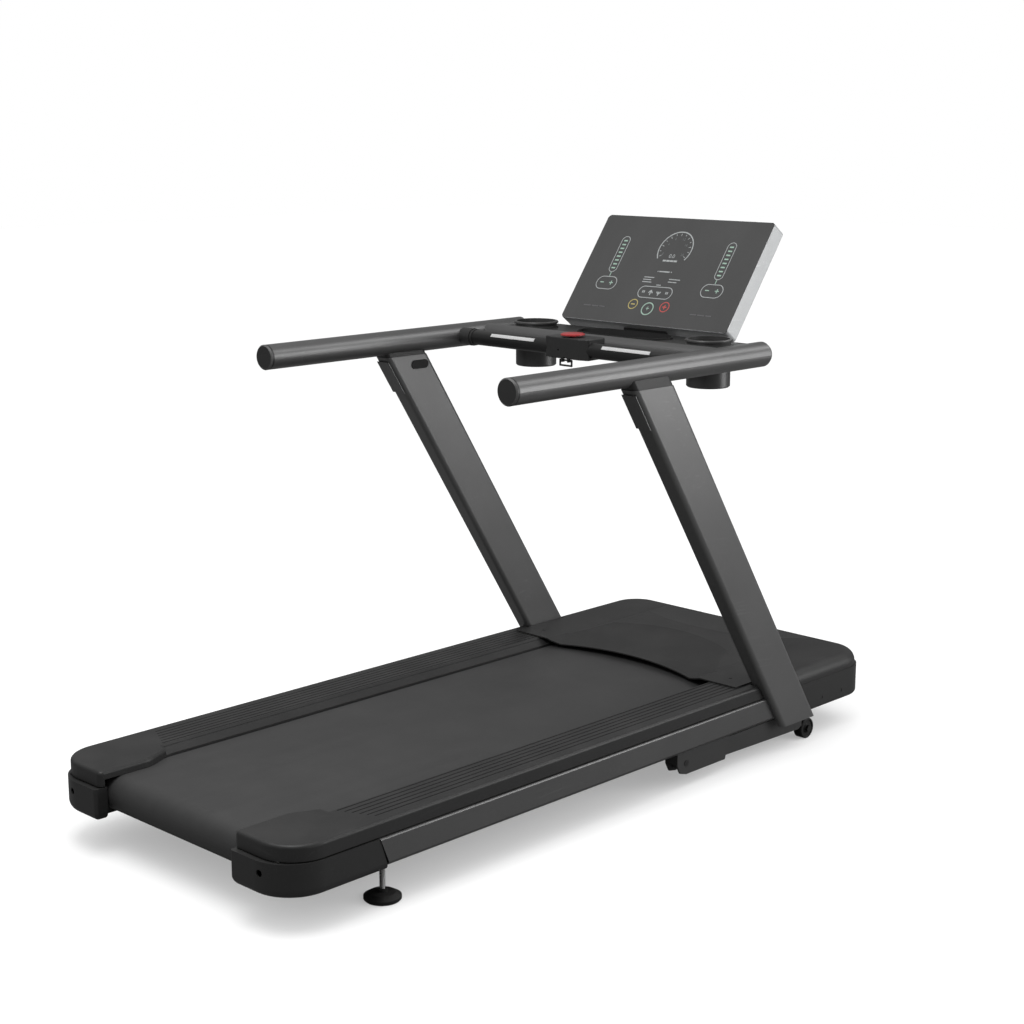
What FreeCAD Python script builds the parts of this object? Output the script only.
"""Motorised treadmill with a touch console, power incline and fixed handrails.

The frame: +X is the user's right, +Y is ahead of the user, +Z is up.  The origin lies on
the floor under the middle of the machine.  Every size is in millimetres and is written
once, in the Size sheet; everything else is a formula of those sizes.  The pieces are drawn
from a fixed point near the middle and shifted along Y when they are written, so that the
origin stays under the middle whatever the machine's length.
"""
import FreeCAD, Part
import math
import os
import re

import Sketcher
from FreeCAD import Placement, Rotation, Vector

# ---------------------------------------------------------------------------
# Driving sizes: name, millimetres, meaning
# ---------------------------------------------------------------------------
SIZES = [
    # overall places
    ("rear_end", -1005, "rear face of the rear end caps"),
    ("front_end", 977, "front face of the lower front cover"),
    ("rail_outer", 414, "outer face of a side rail from the centre line"),
    ("rail_bottom", 91, "underside of the side rails above the floor"),
    ("rail_height", 64, "height of a side rail"),
    ("rail_front", 712, "front end of the side rails"),
    ("rail_width", 40, "width of a side rail"),
    ("rail_wall", 2.5, "wall of the steel tubes"),
    ("rail_bevel", 9, "bevel along the rail's lower outer edge"),
    ("rail_slant", 26, "how far the rail's rear end leans forward at its foot"),
    ("cap_length", 232, "rear face of the foot rail cover to the top of the rail's end"),
    ("cap_proud", 12, "rear end caps stand out behind the foot rail covers"),
    ("fit_gap", 0.3, "clearance between pieces that move past each other"),
    ("seam_gap", 0.6, "visible seam between plastic covers"),
    ("foot_rail_gap", 3, "open seam between a side rail and the foot rail cover above it"),
    # belt, deck and rollers
    ("belt_half", 260, "half the running belt's width"),
    ("belt_thick", 2.2, "running belt"),
    ("roller_radius", 39.7, "front and rear rollers"),
    ("roller_half", 268, "half the length of a roller's tube"),
    ("roller_axis_z", 130, "height of both roller axes"),
    ("bracket_inset", 24, "rear roller bracket ahead of the rear face"),
    ("rear_roller_inset", 65, "rear roller axis ahead of the rear face"),
    ("front_roller_y", 590, "front roller axis"),
    ("shaft_radius", 10, "roller shafts"),
    ("shaft_half", 345, "half the length of a roller shaft"),
    ("roller_wall", 3, "roller tube wall"),
    ("bearing_width", 14, "closed ends of the rollers, where the bearings sit"),
    ("deck_half", 305, "half the deck board's width"),
    ("deck_thick", 18, "deck board"),
    ("deck_margin", 52, "deck board's end to the roller axis"),
    ("cross_height", 30, "cross member height"),
    ("cross_depth", 40, "cross member, front to rear"),
    ("cross_bottom", 100, "underside of the cross members"),
    ("pad_radius", 17, "deck cushion"),
    ("pad_x", 285, "deck cushions from the centre line"),
    # drive
    ("driven_radius", 48, "driven pulley on the front roller"),
    ("driver_radius", 17, "motor pulley"),
    ("pulley_x", -296, "middle of both pulleys"),
    ("pulley_width", 22, "pulley width"),
    ("drive_belt_width", 16, "ribbed drive belt width"),
    ("drive_belt_thick", 4, "ribbed drive belt"),
    ("motor_y", 800, "motor axis, front to rear"),
    ("motor_z", 142, "motor axis height"),
    ("motor_radius", 43, "drive motor"),
    ("motor_length", 190, "drive motor body"),
    ("motor_x", -250, "motor's pulley end"),
    ("flywheel_radius", 46, "flywheel on the motor"),
    ("flywheel_width", 20, "flywheel"),
    ("motor_shaft_radius", 8, "motor shaft"),
    # covers
    ("cover_top", 192, "top of the foot rail covers"),
    ("cover_outer", 409, "outer face of the foot rail covers"),
    ("cover_inner", 268, "inner edge of the foot rail covers beside the belt"),
    ("cover_step", 296, "where the foot rail's flat top ends"),
    ("cover_wall", 3, "wall of the plastic covers"),
    ("cover_front", 530, "front end of the foot rail covers"),
    ("cover_corner", 88, "round outer corner at the rear"),
    ("cover_rear_inner", 236, "inner edge of the covers behind the belt"),
    ("cover_step_y", 205, "where the rear cover steps inward, ahead of the rear face"),
    ("groove_depth", 1.4, "anti-slip grooves in the foot rails"),
    ("cap_bottom", 80, "underside of the rear end caps"),
    ("hood_rear", 437, "rear edge of the hood"),
    ("hood_set_back", 9, "hood's front face behind the lower front cover's"),
    ("hood_crown", 221, "top of the hood on the centre line"),
    ("hood_shelf", 196, "half width of the hood's raised top"),
    ("hood_shoulder", 214, "height of the raised top's side edges"),
    ("hood_dip", 183, "height of the hood's rear edge over the belt"),
    ("hood_rise", 240, "length of the slope from the dipped rear edge up to the crown"),
    ("hood_bow", 46, "how far the rear edge bows forward over the belt"),
    ("hood_edge", 195.5, "height where the hood's crown meets its flat sides"),
    ("hood_crease", 250, "half width of the hood's crown"),
    ("hood_round", 30, "rounded upper edge of the hood"),
    ("hood_seam", 157, "seam between the hood and the lower front cover"),
    ("hood_waist", 376, "half width of the hood between the uprights"),
    ("hood_corner", 88, "round front corners of the hood"),
    ("hood_screw_x", 322, "hood screws from the centre line"),
    ("screw_radius", 4.5, "cover screws"),
    ("lower_rear", 650, "rear edge of the lower front cover"),
    ("lower_bottom", 77, "underside of the lower front cover"),
    # uprights
    ("upright_outer", 430, "outer face of an upright"),
    ("upright_width", 50, "upright, side to side"),
    ("upright_depth", 139, "upright, front to rear, measured level"),
    ("upright_foot_y", 568.5, "rear edge of an upright at its foot"),
    ("upright_foot_z", 72, "foot of an upright"),
    ("upright_lean", 0.645, "how far an upright leans back for each millimetre it rises"),
    ("upright_round", 12, "rounded edges of an upright"),
    ("upright_wall", 3, "wall of an upright"),
    ("bolt_radius", 4, "bolts that hold the uprights"),
    ("collar_height", 14, "collar under a handrail"),
    # handrails and what they carry
    ("handrail_z", 1022, "height of the handrail axes"),
    ("handrail_radius", 30, "handrail tube"),
    ("handrail_back", 351, "handrail's rear end behind the upright's rear edge"),
    ("handrail_ahead", 530, "handrail's front end ahead of the upright's rear edge"),
    ("handrail_cap", 9, "handrail end cap"),
    ("cross_tube_radius", 25, "cross tube between the handrails"),
    ("cross_tube_ahead", 379, "cross tube ahead of the upright's rear edge"),
    ("grip_radius", 19, "grip bar"),
    ("grip_ahead", 284, "grip bar ahead of the upright's rear edge"),
    ("collar_length", 36, "grip bar end collar"),
    ("plate_start", 112, "pulse plate's inner end from the centre line"),
    ("plate_length", 150, "pulse plate"),
    ("housing_half", 72, "half width of the centre housing"),
    ("stop_radius", 30, "stop button"),
    ("stop_stem", 8, "stop button stem"),
    ("stop_travel", 4, "stop button travel"),
    ("loop_wire", 2.4, "radius of the safety clip loop's wire"),
    ("tray_rise", 16, "top of the tray above the handrail axes"),
    ("tray_ahead", 401, "tray's rear edge ahead of the upright's rear edge"),
    ("tray_depth", 158, "tray, front to rear"),
    ("tray_height", 24, "tray, top to underside"),
    ("tray_wall", 3, "tray wall"),
    ("cup_x", 286, "cup holder from the centre line"),
    ("cup_gap", 3, "cup holder to the cross tube"),
    ("cup_radius", 53, "cup holder outside"),
    ("cup_wall", 2.5, "cup holder wall"),
    ("cup_drop", 99, "underside of a cup holder below the tray's top"),
    ("cup_lip_rise", 17, "top of a cup holder's lip above the tray's top"),
    ("lip_overhang", 5, "cup holder's lip beyond its side"),
    # console
    ("console_width", 548, "console, side to side"),
    ("console_tall", 322, "console, along its face"),
    ("console_thick", 46, "console, front to back"),
    ("console_lean", 36.4, "degrees the console leans back from upright"),
    ("console_foot_ahead", 541, "console's lower front edge ahead of the upright's rear edge"),
    ("console_rise", 37, "console's lower front edge above the handrail axes"),
    ("glass_thick", 3, "console glass"),
    ("glass_border", 0.5, "case showing round the glass"),
    ("console_round", 10, "console corners"),
    ("neck_half", 70, "half width of the console neck"),
    # lift frame, wheels and feet
    ("lift_y", 215, "lift frame pivot, front to rear"),
    ("lift_z", 62, "lift frame pivot height"),
    ("lift_reach", 505, "lift pivot to the wheel axle"),
    ("arm_x", 385, "middle of a lift arm from the centre line"),
    ("arm_width", 26, "lift arm"),
    ("arm_height", 38, "lift arm"),
    ("lift_cross_y", 640, "cross tube of the lift frame"),
    ("lift_cross_z", 55, "cross tube of the lift frame"),
    ("lift_cross_radius", 15, "cross tube of the lift frame"),
    ("pin_radius", 8, "lift pivot pins"),
    ("wheel_radius", 27, "front wheels"),
    ("wheel_width", 26, "front wheels"),
    ("axle_radius", 5, "wheel axles"),
    ("running_fit", 0.05, "radial clearance of wheels and pins on their axles"),
    ("cheek_thick", 5, "cheeks of the lift pivot brackets"),
    ("lift_motor_x", 325, "lift motor axis from the centre line"),
    ("lift_anchor_z", 118, "lift motor's pivot height"),
    ("screw_tube_radius", 11, "lift motor's moving tube"),
    ("foot_x", 368, "levelling feet from the centre line"),
    ("foot_ahead", 275, "levelling feet ahead of the rear face"),
    ("foot_radius", 40, "levelling foot disc"),
    ("foot_height", 18, "levelling foot disc"),
    ("rod_radius", 5.5, "levelling foot's threaded rod"),
]

# Places that follow from the sizes.
DERIVED = {
    "rail_top": "rail_bottom + rail_height",
    "rail_inner": "rail_outer - rail_width",
    "rail_rear": "rear_end + cap_length",
    "cap_rear": "rear_end - cap_proud",
    "rear_roller_y": "rear_end + rear_roller_inset",
    "belt_inner_top": "roller_axis_z + roller_radius + fit_gap",
    "belt_top": "belt_inner_top + belt_thick",
    "deck_bottom": "belt_inner_top - deck_thick",
    "upright_inner": "upright_outer - upright_width",
    "handrail_x": "upright_outer - handrail_radius",
    "head_y": "upright_foot_y - (handrail_z - upright_foot_z) * upright_lean",
    "upright_top": "handrail_z - handrail_radius - collar_height + 9",
    "head_rear_y": "head_y + (handrail_z - upright_top) * upright_lean",
    "cross_tube_y": "head_y + cross_tube_ahead",
    "grip_y": "head_y + grip_ahead",
    "stop_y": "grip_y + 4",
    "loop_y": "grip_y - 20",
    "loop_z": "handrail_z - grip_radius - 8.2",
    "tray_rear": "head_y + tray_ahead",
    "tray_front": "tray_rear + tray_depth",
    "tray_top": "handrail_z + tray_rise",
    "cup_y": "cross_tube_y + cross_tube_radius + cup_gap + cup_radius",
    "cup_bottom": "tray_top - cup_drop",
    "cup_lip": "tray_top + cup_lip_rise",
    "lip_radius": "cup_radius + lip_overhang",
    "cup_bore": "cup_radius - cup_wall",
    "console_foot_y": "head_y + console_foot_ahead",
    "console_foot_z": "handrail_z + console_rise",
    "foot_y": "rear_end + foot_ahead",
    "wheel_y": "lift_y + sqrt(lift_reach ^ 2 - (lift_z - wheel_radius) ^ 2)",
    "span": "handrail_x - handrail_radius",
}

doc = FreeCAD.newDocument("Treadmill")
sheet = doc.addObject("Spreadsheet::Sheet", "Size")
for row, (name, number, meaning) in enumerate(SIZES, 1):
    sheet.set("A%d" % row, name)
    sheet.set("B%d" % row, str(number))
    sheet.set("C%d" % row, meaning)
    sheet.setAlias("B%d" % row, name)
doc.recompute()
CELLS = {name for name, number, meaning in SIZES}

nodes = []


# ---------------------------------------------------------------------------
# Helpers
# ---------------------------------------------------------------------------
def formula(text):
    """Write a formula of named sizes as the sheet's cells."""
    def cell(match):
        word = match.group()
        if word in CELLS:
            return "Size." + word
        if word in DERIVED:
            return "(" + formula(DERIVED[word]) + ")"
        return word
    return re.sub(r"[a-z][a-z_]+", cell, text)


def value(text):
    """The number that a formula of named sizes gives."""
    return float(sheet.evalExpression(formula(text)))


def bind(thing, **formulas):
    """Tie properties of an object to formulas."""
    for name, text in formulas.items():
        thing.setExpression(name, formula(text))
    return thing


def place(thing, x="0", y="0", z="0", turn=None):
    """Put an object at a place given by formulas; turn is (axis, degrees)."""
    if turn:
        axis, degrees = turn
        thing.Placement = Placement(Vector(0, 0, 0), Rotation(axis, degrees))
    thing.setExpression("Placement.Base.x", formula(x))
    thing.setExpression("Placement.Base.y", formula(y))
    thing.setExpression("Placement.Base.z", formula(z))
    return thing


def node(label, thing):
    """Name a finished sub-part; it is written to its own file."""
    thing.Label = label
    nodes.append(thing)
    return thing


def scratch_name(label):
    return label + "_part"


def box(label, low, high):
    """A block between two corners, each a triple of formulas."""
    block = doc.addObject("Part::Box", scratch_name(label))
    spans = ["(%s) - (%s)" % (b, a) for a, b in zip(low, high)]
    bind(block, Length=spans[0], Width=spans[1], Height=spans[2])
    return place(block, *low)


AXES = {"x": (Vector(0, 1, 0), 90), "y": (Vector(1, 0, 0), -90), "z": None}


def rod(label, axis, start, radius, length):
    """A round bar from a start point along +X, +Y or +Z."""
    bar = doc.addObject("Part::Cylinder", scratch_name(label))
    bind(bar, Radius=radius, Height=length)
    return place(bar, *start, turn=AXES[axis])


def fuse(label, pieces):
    joined = doc.addObject("Part::MultiFuse", scratch_name(label))
    joined.Shapes = pieces
    joined.Refine = True
    return joined


def cut(label, base, tools):
    """Take one or more tools out of a base."""
    tool = tools[0] if len(tools) == 1 else fuse(label + "_tools", tools)
    result = doc.addObject("Part::Cut", scratch_name(label))
    result.Base = base
    result.Tool = tool
    result.Refine = True
    return result


def common(label, pieces):
    result = doc.addObject("Part::MultiCommon", scratch_name(label))
    result.Shapes = pieces
    result.Refine = True
    return result


def group(label, pieces):
    """Identical loose pieces that share one file."""
    together = doc.addObject("Part::Compound", scratch_name(label))
    together.Links = pieces
    return together


def mirror(label, source):
    """The same piece on the other side of the centre line."""
    twin = doc.addObject("Part::Mirroring", scratch_name(label))
    twin.Source = source
    twin.Base = Vector(0, 0, 0)
    twin.Normal = Vector(1, 0, 0)
    return twin


def pair(label, right_piece):
    """One node that holds the right piece and its mirror image."""
    return node(label, group(label, [right_piece, mirror(label + "_twin", right_piece)]))


def sides(label, right_piece):
    """Two nodes: the right piece and its mirror image."""
    node(label + "_right", right_piece)
    node(label + "_left", mirror(label + "_left", right_piece))


def new_body(label):
    return doc.addObject("PartDesign::Body", scratch_name(label))


def origin_plane(body, role):
    return [plane for plane in body.Origin.OriginFeatures if plane.Role == role][0]


def outline(body, name, role, corners, offset="0"):
    """A closed outline of straight sides on one of the body's own planes."""
    sketch = body.newObject("Sketcher::SketchObject", name)
    sketch.AttachmentSupport = [(origin_plane(body, role), "")]
    sketch.MapMode = "FlatFace"
    sketch.setExpression("AttachmentOffset.Base.z", formula(offset))
    points = [Vector(value(a), value(b), 0) for a, b in corners]
    count = len(points)
    for i in range(count):
        sketch.addGeometry(Part.LineSegment(points[i], points[(i + 1) % count]), False)
    for i in range(count):
        sketch.addConstraint(Sketcher.Constraint("Coincident", i, 2, (i + 1) % count, 1))
    for i, (a, b) in enumerate(corners):
        across = sketch.addConstraint(Sketcher.Constraint("DistanceX", -1, 1, i, 1, points[i].x))
        sketch.setExpression("Constraints[%d]" % across, formula(a))
        along = sketch.addConstraint(Sketcher.Constraint("DistanceY", -1, 1, i, 1, points[i].y))
        sketch.setExpression("Constraints[%d]" % along, formula(b))
    return sketch


def pad(body, sketch, length, direction=None):
    """Extrude a sketch; a direction makes a leaning prism with level ends."""
    feature = body.newObject("PartDesign::Pad", "Pad")
    feature.Profile = sketch
    feature.setExpression("Length", formula(length))
    if direction:
        feature.UseCustomVector = True
        feature.AlongSketchNormal = True
        feature.Direction = Vector(0, -1, 1)
        feature.setExpression("Direction.y", formula(direction[0]))
        feature.setExpression("Direction.z", formula(direction[1]))
    body.Tip = feature
    doc.recompute()
    return feature


def pocket(body, sketch, length, direction=None):
    """Cut a sketch out of a body along the sketch's normal, and check that something was cut."""
    before = body.Shape.Volume
    feature = body.newObject("PartDesign::Pocket", "Pocket")
    feature.Profile = sketch
    feature.setExpression("Length", formula(length))
    feature.Reversed = not direction
    if direction:
        feature.UseCustomVector = True
        feature.AlongSketchNormal = True
        feature.Direction = Vector(0, -1, 1)
        feature.setExpression("Direction.y", formula(direction[0]))
        feature.setExpression("Direction.z", formula(direction[1]))
    body.Tip = feature
    doc.recompute()
    if body.Shape.Volume > before - 1:
        raise RuntimeError("the pocket in %s cut nothing" % body.Name)
    return feature


def edge_names(shape, chosen):
    return ["Edge%d" % i for i, edge in enumerate(shape.Edges, 1) if chosen(edge)]


def soften(body, radius, chosen, kind="Fillet"):
    """Round (or bevel) the edges of a body that the test picks."""
    base = body.Tip
    feature = body.newObject("PartDesign::" + kind, kind)
    feature.Base = (base, edge_names(base.Shape, chosen))
    feature.setExpression("Radius" if kind == "Fillet" else "Size", formula(radius))
    body.Tip = feature
    doc.recompute()
    return feature


def turned(label, profile):
    """A body turned about its own Z axis from (radius, height) corners."""
    body = new_body(label)
    sketch = outline(body, "Profile", "XZ_Plane", profile)
    feature = body.newObject("PartDesign::Revolution", "Revolution")
    feature.Profile = sketch
    feature.ReferenceAxis = (sketch, ["V_Axis"])
    feature.Angle = 360
    body.Tip = feature
    doc.recompute()
    return body


def along(edge, axis, least=1.0):
    """Whether an edge is straight, at least so long, and runs along one axis."""
    if edge.Curve.TypeId != "Part::GeomLine" or edge.Length < least:
        return False
    direction = edge.Vertexes[-1].Point - edge.Vertexes[0].Point
    return abs(abs(getattr(direction.normalize(), axis)) - 1) < 1e-6


def centre(edge):
    return edge.BoundBox.Center


def shape_feature(label, shape):
    feature = doc.addObject("Part::Feature", scratch_name(label))
    feature.Shape = shape
    return feature


# ---------------------------------------------------------------------------
# Main frame
# ---------------------------------------------------------------------------
UPRIGHT_BOLTS = [
    ("upright_foot_y + 56", "rail_bottom + 46"),
    ("upright_foot_y + 56", "rail_bottom + 16"),
]


def side_rail():
    """Box tube with a bevelled lower outer edge, a slanted rear end and a front end set inside the cover."""
    body = new_body("side_rail")
    section = [
        ("rail_inner", "rail_bottom"),
        ("rail_outer - rail_bevel", "rail_bottom"),
        ("rail_outer", "rail_bottom + rail_bevel"),
        ("rail_outer", "rail_top"),
        ("rail_inner", "rail_top"),
    ]
    tube = outline(body, "Section", "XZ_Plane", section, "-rail_front")
    pad(body, tube, "rail_front - rail_rear")
    soften(body, "4", lambda e: along(e, "y", 900) and centre(e).x > value("rail_outer") - 0.1)
    inner = [
        ("rail_inner + rail_wall", "rail_bottom + rail_wall"),
        ("rail_outer - rail_bevel - 1", "rail_bottom + rail_wall"),
        ("rail_outer - rail_wall", "rail_bottom + rail_bevel + 1"),
        ("rail_outer - rail_wall", "rail_top - rail_wall"),
        ("rail_inner + rail_wall", "rail_top - rail_wall"),
    ]
    bore = outline(body, "Bore", "XZ_Plane", inner, "-rail_front")
    pocket(body, bore, "rail_front - rail_rear")
    slant = [
        ("rail_rear - 5", "rail_bottom - 1"),
        ("rail_rear + rail_slant", "rail_bottom - 1"),
        ("rail_rear", "rail_top + 0.001"),
        ("rail_rear - 5", "rail_top + 0.001"),
    ]
    end = outline(body, "Slant", "YZ_Plane", slant, "rail_inner - 1")
    pocket(body, end, "rail_width + 2")
    holes = [
        rod("rail_hole_%d" % i, "x", ("rail_inner - 1", y, z), "bolt_radius + fit_gap", "rail_width + 2")
        for i, (y, z) in enumerate(UPRIGHT_BOLTS)
    ]
    cover_room = box("rail_notch", ("cover_outer - cover_wall - 1.5", "lower_rear - 1", "rail_bottom - 1"),
                     ("rail_outer + 1", "rail_front + 1", "rail_top + 1"))
    return cut("side_rail_drilled", body, holes + [cover_room])


sides("side_rail", side_rail())


def box_tube(label, low, high, axis):
    """A rectangular tube between two corners, open at both ends of one axis."""
    inner_low = [text if name == axis else text + " + rail_wall" for name, text in zip("xyz", low)]
    inner_high = [text if name == axis else text + " - rail_wall" for name, text in zip("xyz", high)]
    return cut(label, box(label + "_outer", low, high), [box(label + "_bore", inner_low, inner_high)])


def cross_member(index, y):
    """A box tube between the side rails, inside the belt's loop."""
    low = ("-rail_inner", "(%s) - cross_depth / 2" % y, "cross_bottom")
    high = ("rail_inner", "(%s) + cross_depth / 2" % y, "cross_bottom + cross_height")
    return box_tube("cross_member_%d" % index, low, high, "x")


CROSS_COUNT = 4
CROSS_FIRST = "rear_roller_y + 110"
CROSS_LAST = "front_roller_y - 100"
cross_places = [
    "(%s) + ((%s) - (%s)) * %d / %d" % (CROSS_FIRST, CROSS_LAST, CROSS_FIRST, i, CROSS_COUNT - 1)
    for i in range(CROSS_COUNT)
]
members = [cross_member(i, y) for i, y in enumerate(cross_places)]
node("cross_members", group("cross_members", members))


def motor_bay_frame():
    """U of box tube ahead of the side rails, with a floor plate for motor and controller."""
    bottom = "cross_bottom - 4"
    rear = "front_roller_y + 50"
    front = "front_end - 30"
    inner = "rail_inner - 36"
    inner_far = "(%s)" % inner
    top = "cross_bottom + 36"
    arm_start = rear + " + 30"
    arm_end = front + " - 36"
    bars = [
        box_tube("bay_rear", ("-rail_inner", rear, bottom), ("rail_inner", arm_start, "cross_bottom + 26"), "x"),
        box_tube("bay_front", ("-rail_inner", arm_end, bottom), ("rail_inner", front, top), "x"),
        box_tube("bay_arm_right", (inner, arm_start, bottom), ("rail_inner", arm_end, top), "y"),
        box_tube("bay_arm_left", ("-rail_inner", arm_start, bottom), ("-" + inner_far, arm_end, top), "y"),
    ]
    floor = box("bay_floor", ("-rail_inner", rear, bottom + " - 4"), ("rail_inner", front, bottom))
    belt_slot = box("bay_belt_slot", ("pulley_x - pulley_width", rear + " - 1", bottom + " - 5"),
                    ("pulley_x + pulley_width", "front_roller_y + 130", "cross_bottom + 40"))
    return cut("motor_bay_frame", fuse("bay_steel", bars + [floor]), [belt_slot])


node("motor_bay_frame", motor_bay_frame())

# ---------------------------------------------------------------------------
# Deck, belt and rollers
# ---------------------------------------------------------------------------
def deck_board():
    body = new_body("deck_board")
    rear = "rear_roller_y + deck_margin"
    front = "front_roller_y - deck_margin"
    plan = [("-deck_half", rear), ("deck_half", rear), ("deck_half", front), ("-deck_half", front)]
    pad(body, outline(body, "Plan", "XY_Plane", plan, "deck_bottom"), "deck_thick")
    soften(body, "4", lambda e: along(e, "x", 100) and centre(e).z > value("belt_inner_top") - 0.1)
    return body


node("deck_board", deck_board())

cushions = []
for i, y in enumerate(cross_places):
    for side in ("-pad_x", "pad_x"):
        cushions.append(rod("cushion_%d%s" % (i, side[0]), "z",
                            (side, y, "cross_bottom + cross_height"), "pad_radius",
                            "deck_bottom - cross_bottom - cross_height"))
node("deck_cushions", group("deck_cushions", cushions))


def loop(label, low_x, width, centres, radii, thick):
    """A flat belt round two level-axis wheels: outer loop less inner loop."""
    def solid(name, extra):
        faces = []
        (y1, z1), (y2, z2) = [(value(a), value(b)) for a, b in centres]
        r1, r2 = [value(radius) + extra for radius in radii]
        distance = math.hypot(y2 - y1, z2 - z1)
        heading = math.atan2(z2 - z1, y2 - y1)
        swing = math.acos((r1 - r2) / distance)

        def on(y, z, radius, angle):
            return Vector(0, y + radius * math.cos(angle), z + radius * math.sin(angle))

        upper, lower = heading + swing, heading - swing
        a, b = on(y1, z1, r1, upper), on(y2, z2, r2, upper)
        c, d = on(y2, z2, r2, lower), on(y1, z1, r1, lower)
        far = on(y2, z2, r2, heading)
        near = on(y1, z1, r1, heading + math.pi)
        edges = [
            Part.LineSegment(a, b).toShape(),
            Part.Arc(b, far, c).toShape(),
            Part.LineSegment(c, d).toShape(),
            Part.Arc(d, near, a).toShape(),
        ]
        return Part.Face(Part.Wire(edges)).extrude(Vector(value(width), 0, 0))

    ring = solid(label, value(thick)).cut(solid(label, 0))
    feature = shape_feature(label, ring)
    return place(feature, low_x)


node("running_belt", loop(
    "running_belt", "-belt_half", "belt_half * 2",
    [("rear_roller_y", "roller_axis_z"), ("front_roller_y", "roller_axis_z")],
    ["roller_radius + fit_gap", "roller_radius + fit_gap"], "belt_thick"))


def roller(label, y, shaft_turns):
    """A roller tube with its bearings; a driven roller has its own stub shafts."""
    centre_line = (y, "roller_axis_z")
    tube = rod(label + "_tube", "x", ("-roller_half",) + centre_line, "roller_radius", "roller_half * 2")
    relief = rod(label + "_relief", "x", ("-roller_half + bearing_width",) + centre_line,
                 "roller_radius - roller_wall", "(roller_half - bearing_width) * 2")
    if shaft_turns:
        shaft = rod(label + "_shaft", "x", ("-shaft_half",) + centre_line, "shaft_radius", "shaft_half * 2")
        return fuse(label, [cut(label + "_shell", tube, [relief]), shaft])
    bore = rod(label + "_bore", "x", ("-roller_half - 1",) + centre_line,
               "shaft_radius + running_fit", "roller_half * 2 + 2")
    return cut(label, tube, [bore, relief])


node("front_roller", roller("front_roller", "front_roller_y", True))
node("rear_roller", roller("rear_roller", "rear_roller_y", False))
node("rear_shaft", rod("rear_shaft", "x", ("-shaft_half", "rear_roller_y", "roller_axis_z"),
                       "shaft_radius", "shaft_half * 2"))


def grooved_pulley(label, y, z, radius, shaft):
    """A pulley with flanges either side of the ribbed belt."""
    half = "pulley_width / 2"
    start = "pulley_x - %s" % half
    hub = rod(label + "_hub", "x", (start, y, z), radius, "pulley_width")
    flange = "(pulley_width - drive_belt_width) / 2 - fit_gap"
    left = rod(label + "_flange_a", "x", (start, y, z), "(%s) + 5" % radius, flange)
    right = rod(label + "_flange_b", "x", ("pulley_x + %s - (%s)" % (half, flange), y, z),
                "(%s) + 5" % radius, flange)
    bore = rod(label + "_bore", "x", (start + " - 1", y, z), shaft, "pulley_width + 2")
    return cut(label, fuse(label + "_rim", [hub, left, right]), [bore])


node("driven_pulley", grooved_pulley("driven_pulley", "front_roller_y", "roller_axis_z",
                                     "driven_radius", "shaft_radius"))
node("motor_pulley", grooved_pulley("motor_pulley", "motor_y", "motor_z",
                                    "driver_radius", "motor_shaft_radius"))
node("drive_belt", loop(
    "drive_belt", "pulley_x - drive_belt_width / 2", "drive_belt_width",
    [("front_roller_y", "roller_axis_z"), ("motor_y", "motor_z")],
    ["driven_radius + fit_gap", "driver_radius + fit_gap"], "drive_belt_thick"))


def front_roller_bracket():
    """Bearing block on the side rail's inner face; the shaft runs in it."""
    low = ("shaft_half - 20", "front_roller_y - 26", "roller_axis_z - 26")
    high = ("rail_inner", "front_roller_y + 26", "roller_axis_z + 24")
    block = box("front_bracket_block", low, high)
    bore = rod("front_bracket_bore", "x", ("shaft_half - 21", "front_roller_y", "roller_axis_z"),
               "shaft_radius + running_fit", "21.5")
    return cut("front_bracket", block, [bore])


def rear_roller_bracket():
    """Plate from the rail's inner face to the tension bolt, with a ledge under the shaft."""
    inside = "rail_inner + rail_wall"
    bottom = "roller_axis_z - 26"
    plate = box("rear_bracket_plate", (inside, "rear_end + bracket_inset + 3", bottom),
                (inside + " + 6", "rail_rear + rail_slant + 60", "roller_axis_z + 22"))
    spacer = box("rear_bracket_spacer", ("rail_inner", CROSS_FIRST + " - cross_depth / 2", bottom),
                 (inside, CROSS_FIRST + " + cross_depth / 2", "roller_axis_z"))
    end = box("rear_bracket_end", ("shaft_half - 45", "rear_end + bracket_inset", bottom),
              (inside, "rear_end + bracket_inset + 6", "roller_axis_z + 22"))
    ledge = box("rear_bracket_ledge", ("shaft_half - 45", "rear_end + bracket_inset", bottom),
                (inside, "rear_roller_y + 30", "roller_axis_z - shaft_radius"))
    hole = rod("rear_bracket_hole", "y", ("shaft_half - 18", "rear_end + bracket_inset - 5", "roller_axis_z"),
               "4.5", "20")
    return cut("rear_bracket", fuse("rear_bracket_steel", [plate, spacer, end, ledge]), [hole])


right_brackets = [front_roller_bracket(), rear_roller_bracket()]
left_brackets = [mirror("bracket_twin_%d" % i, piece) for i, piece in enumerate(right_brackets)]
node("roller_brackets", group("roller_brackets", right_brackets + left_brackets))


def tension_bolt():
    """Socket-head bolt that pulls the rear shaft back through the bracket."""
    x = "shaft_half - 18"
    shank = rod("tension_shank", "y", (x, "rear_end + bracket_inset", "roller_axis_z"), "4",
                "rear_roller_inset - bracket_inset - shaft_radius")
    head = rod("tension_head", "y", (x, "rear_end + bracket_inset - 8", "roller_axis_z"), "6.5", "8")
    socket = doc.addObject("Part::Prism", scratch_name("tension_socket"))
    socket.Polygon = 6
    bind(socket, Circumradius="3.5", Height="5")
    place(socket, x, "rear_end + bracket_inset - 9", "roller_axis_z", turn=AXES["y"])
    return cut("tension_bolt", fuse("tension_steel", [shank, head]), [socket])


pair("belt_tension_bolts", tension_bolt())

# ---------------------------------------------------------------------------
# Drive
# ---------------------------------------------------------------------------
motor_start = "motor_x + flywheel_width + 8"


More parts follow.
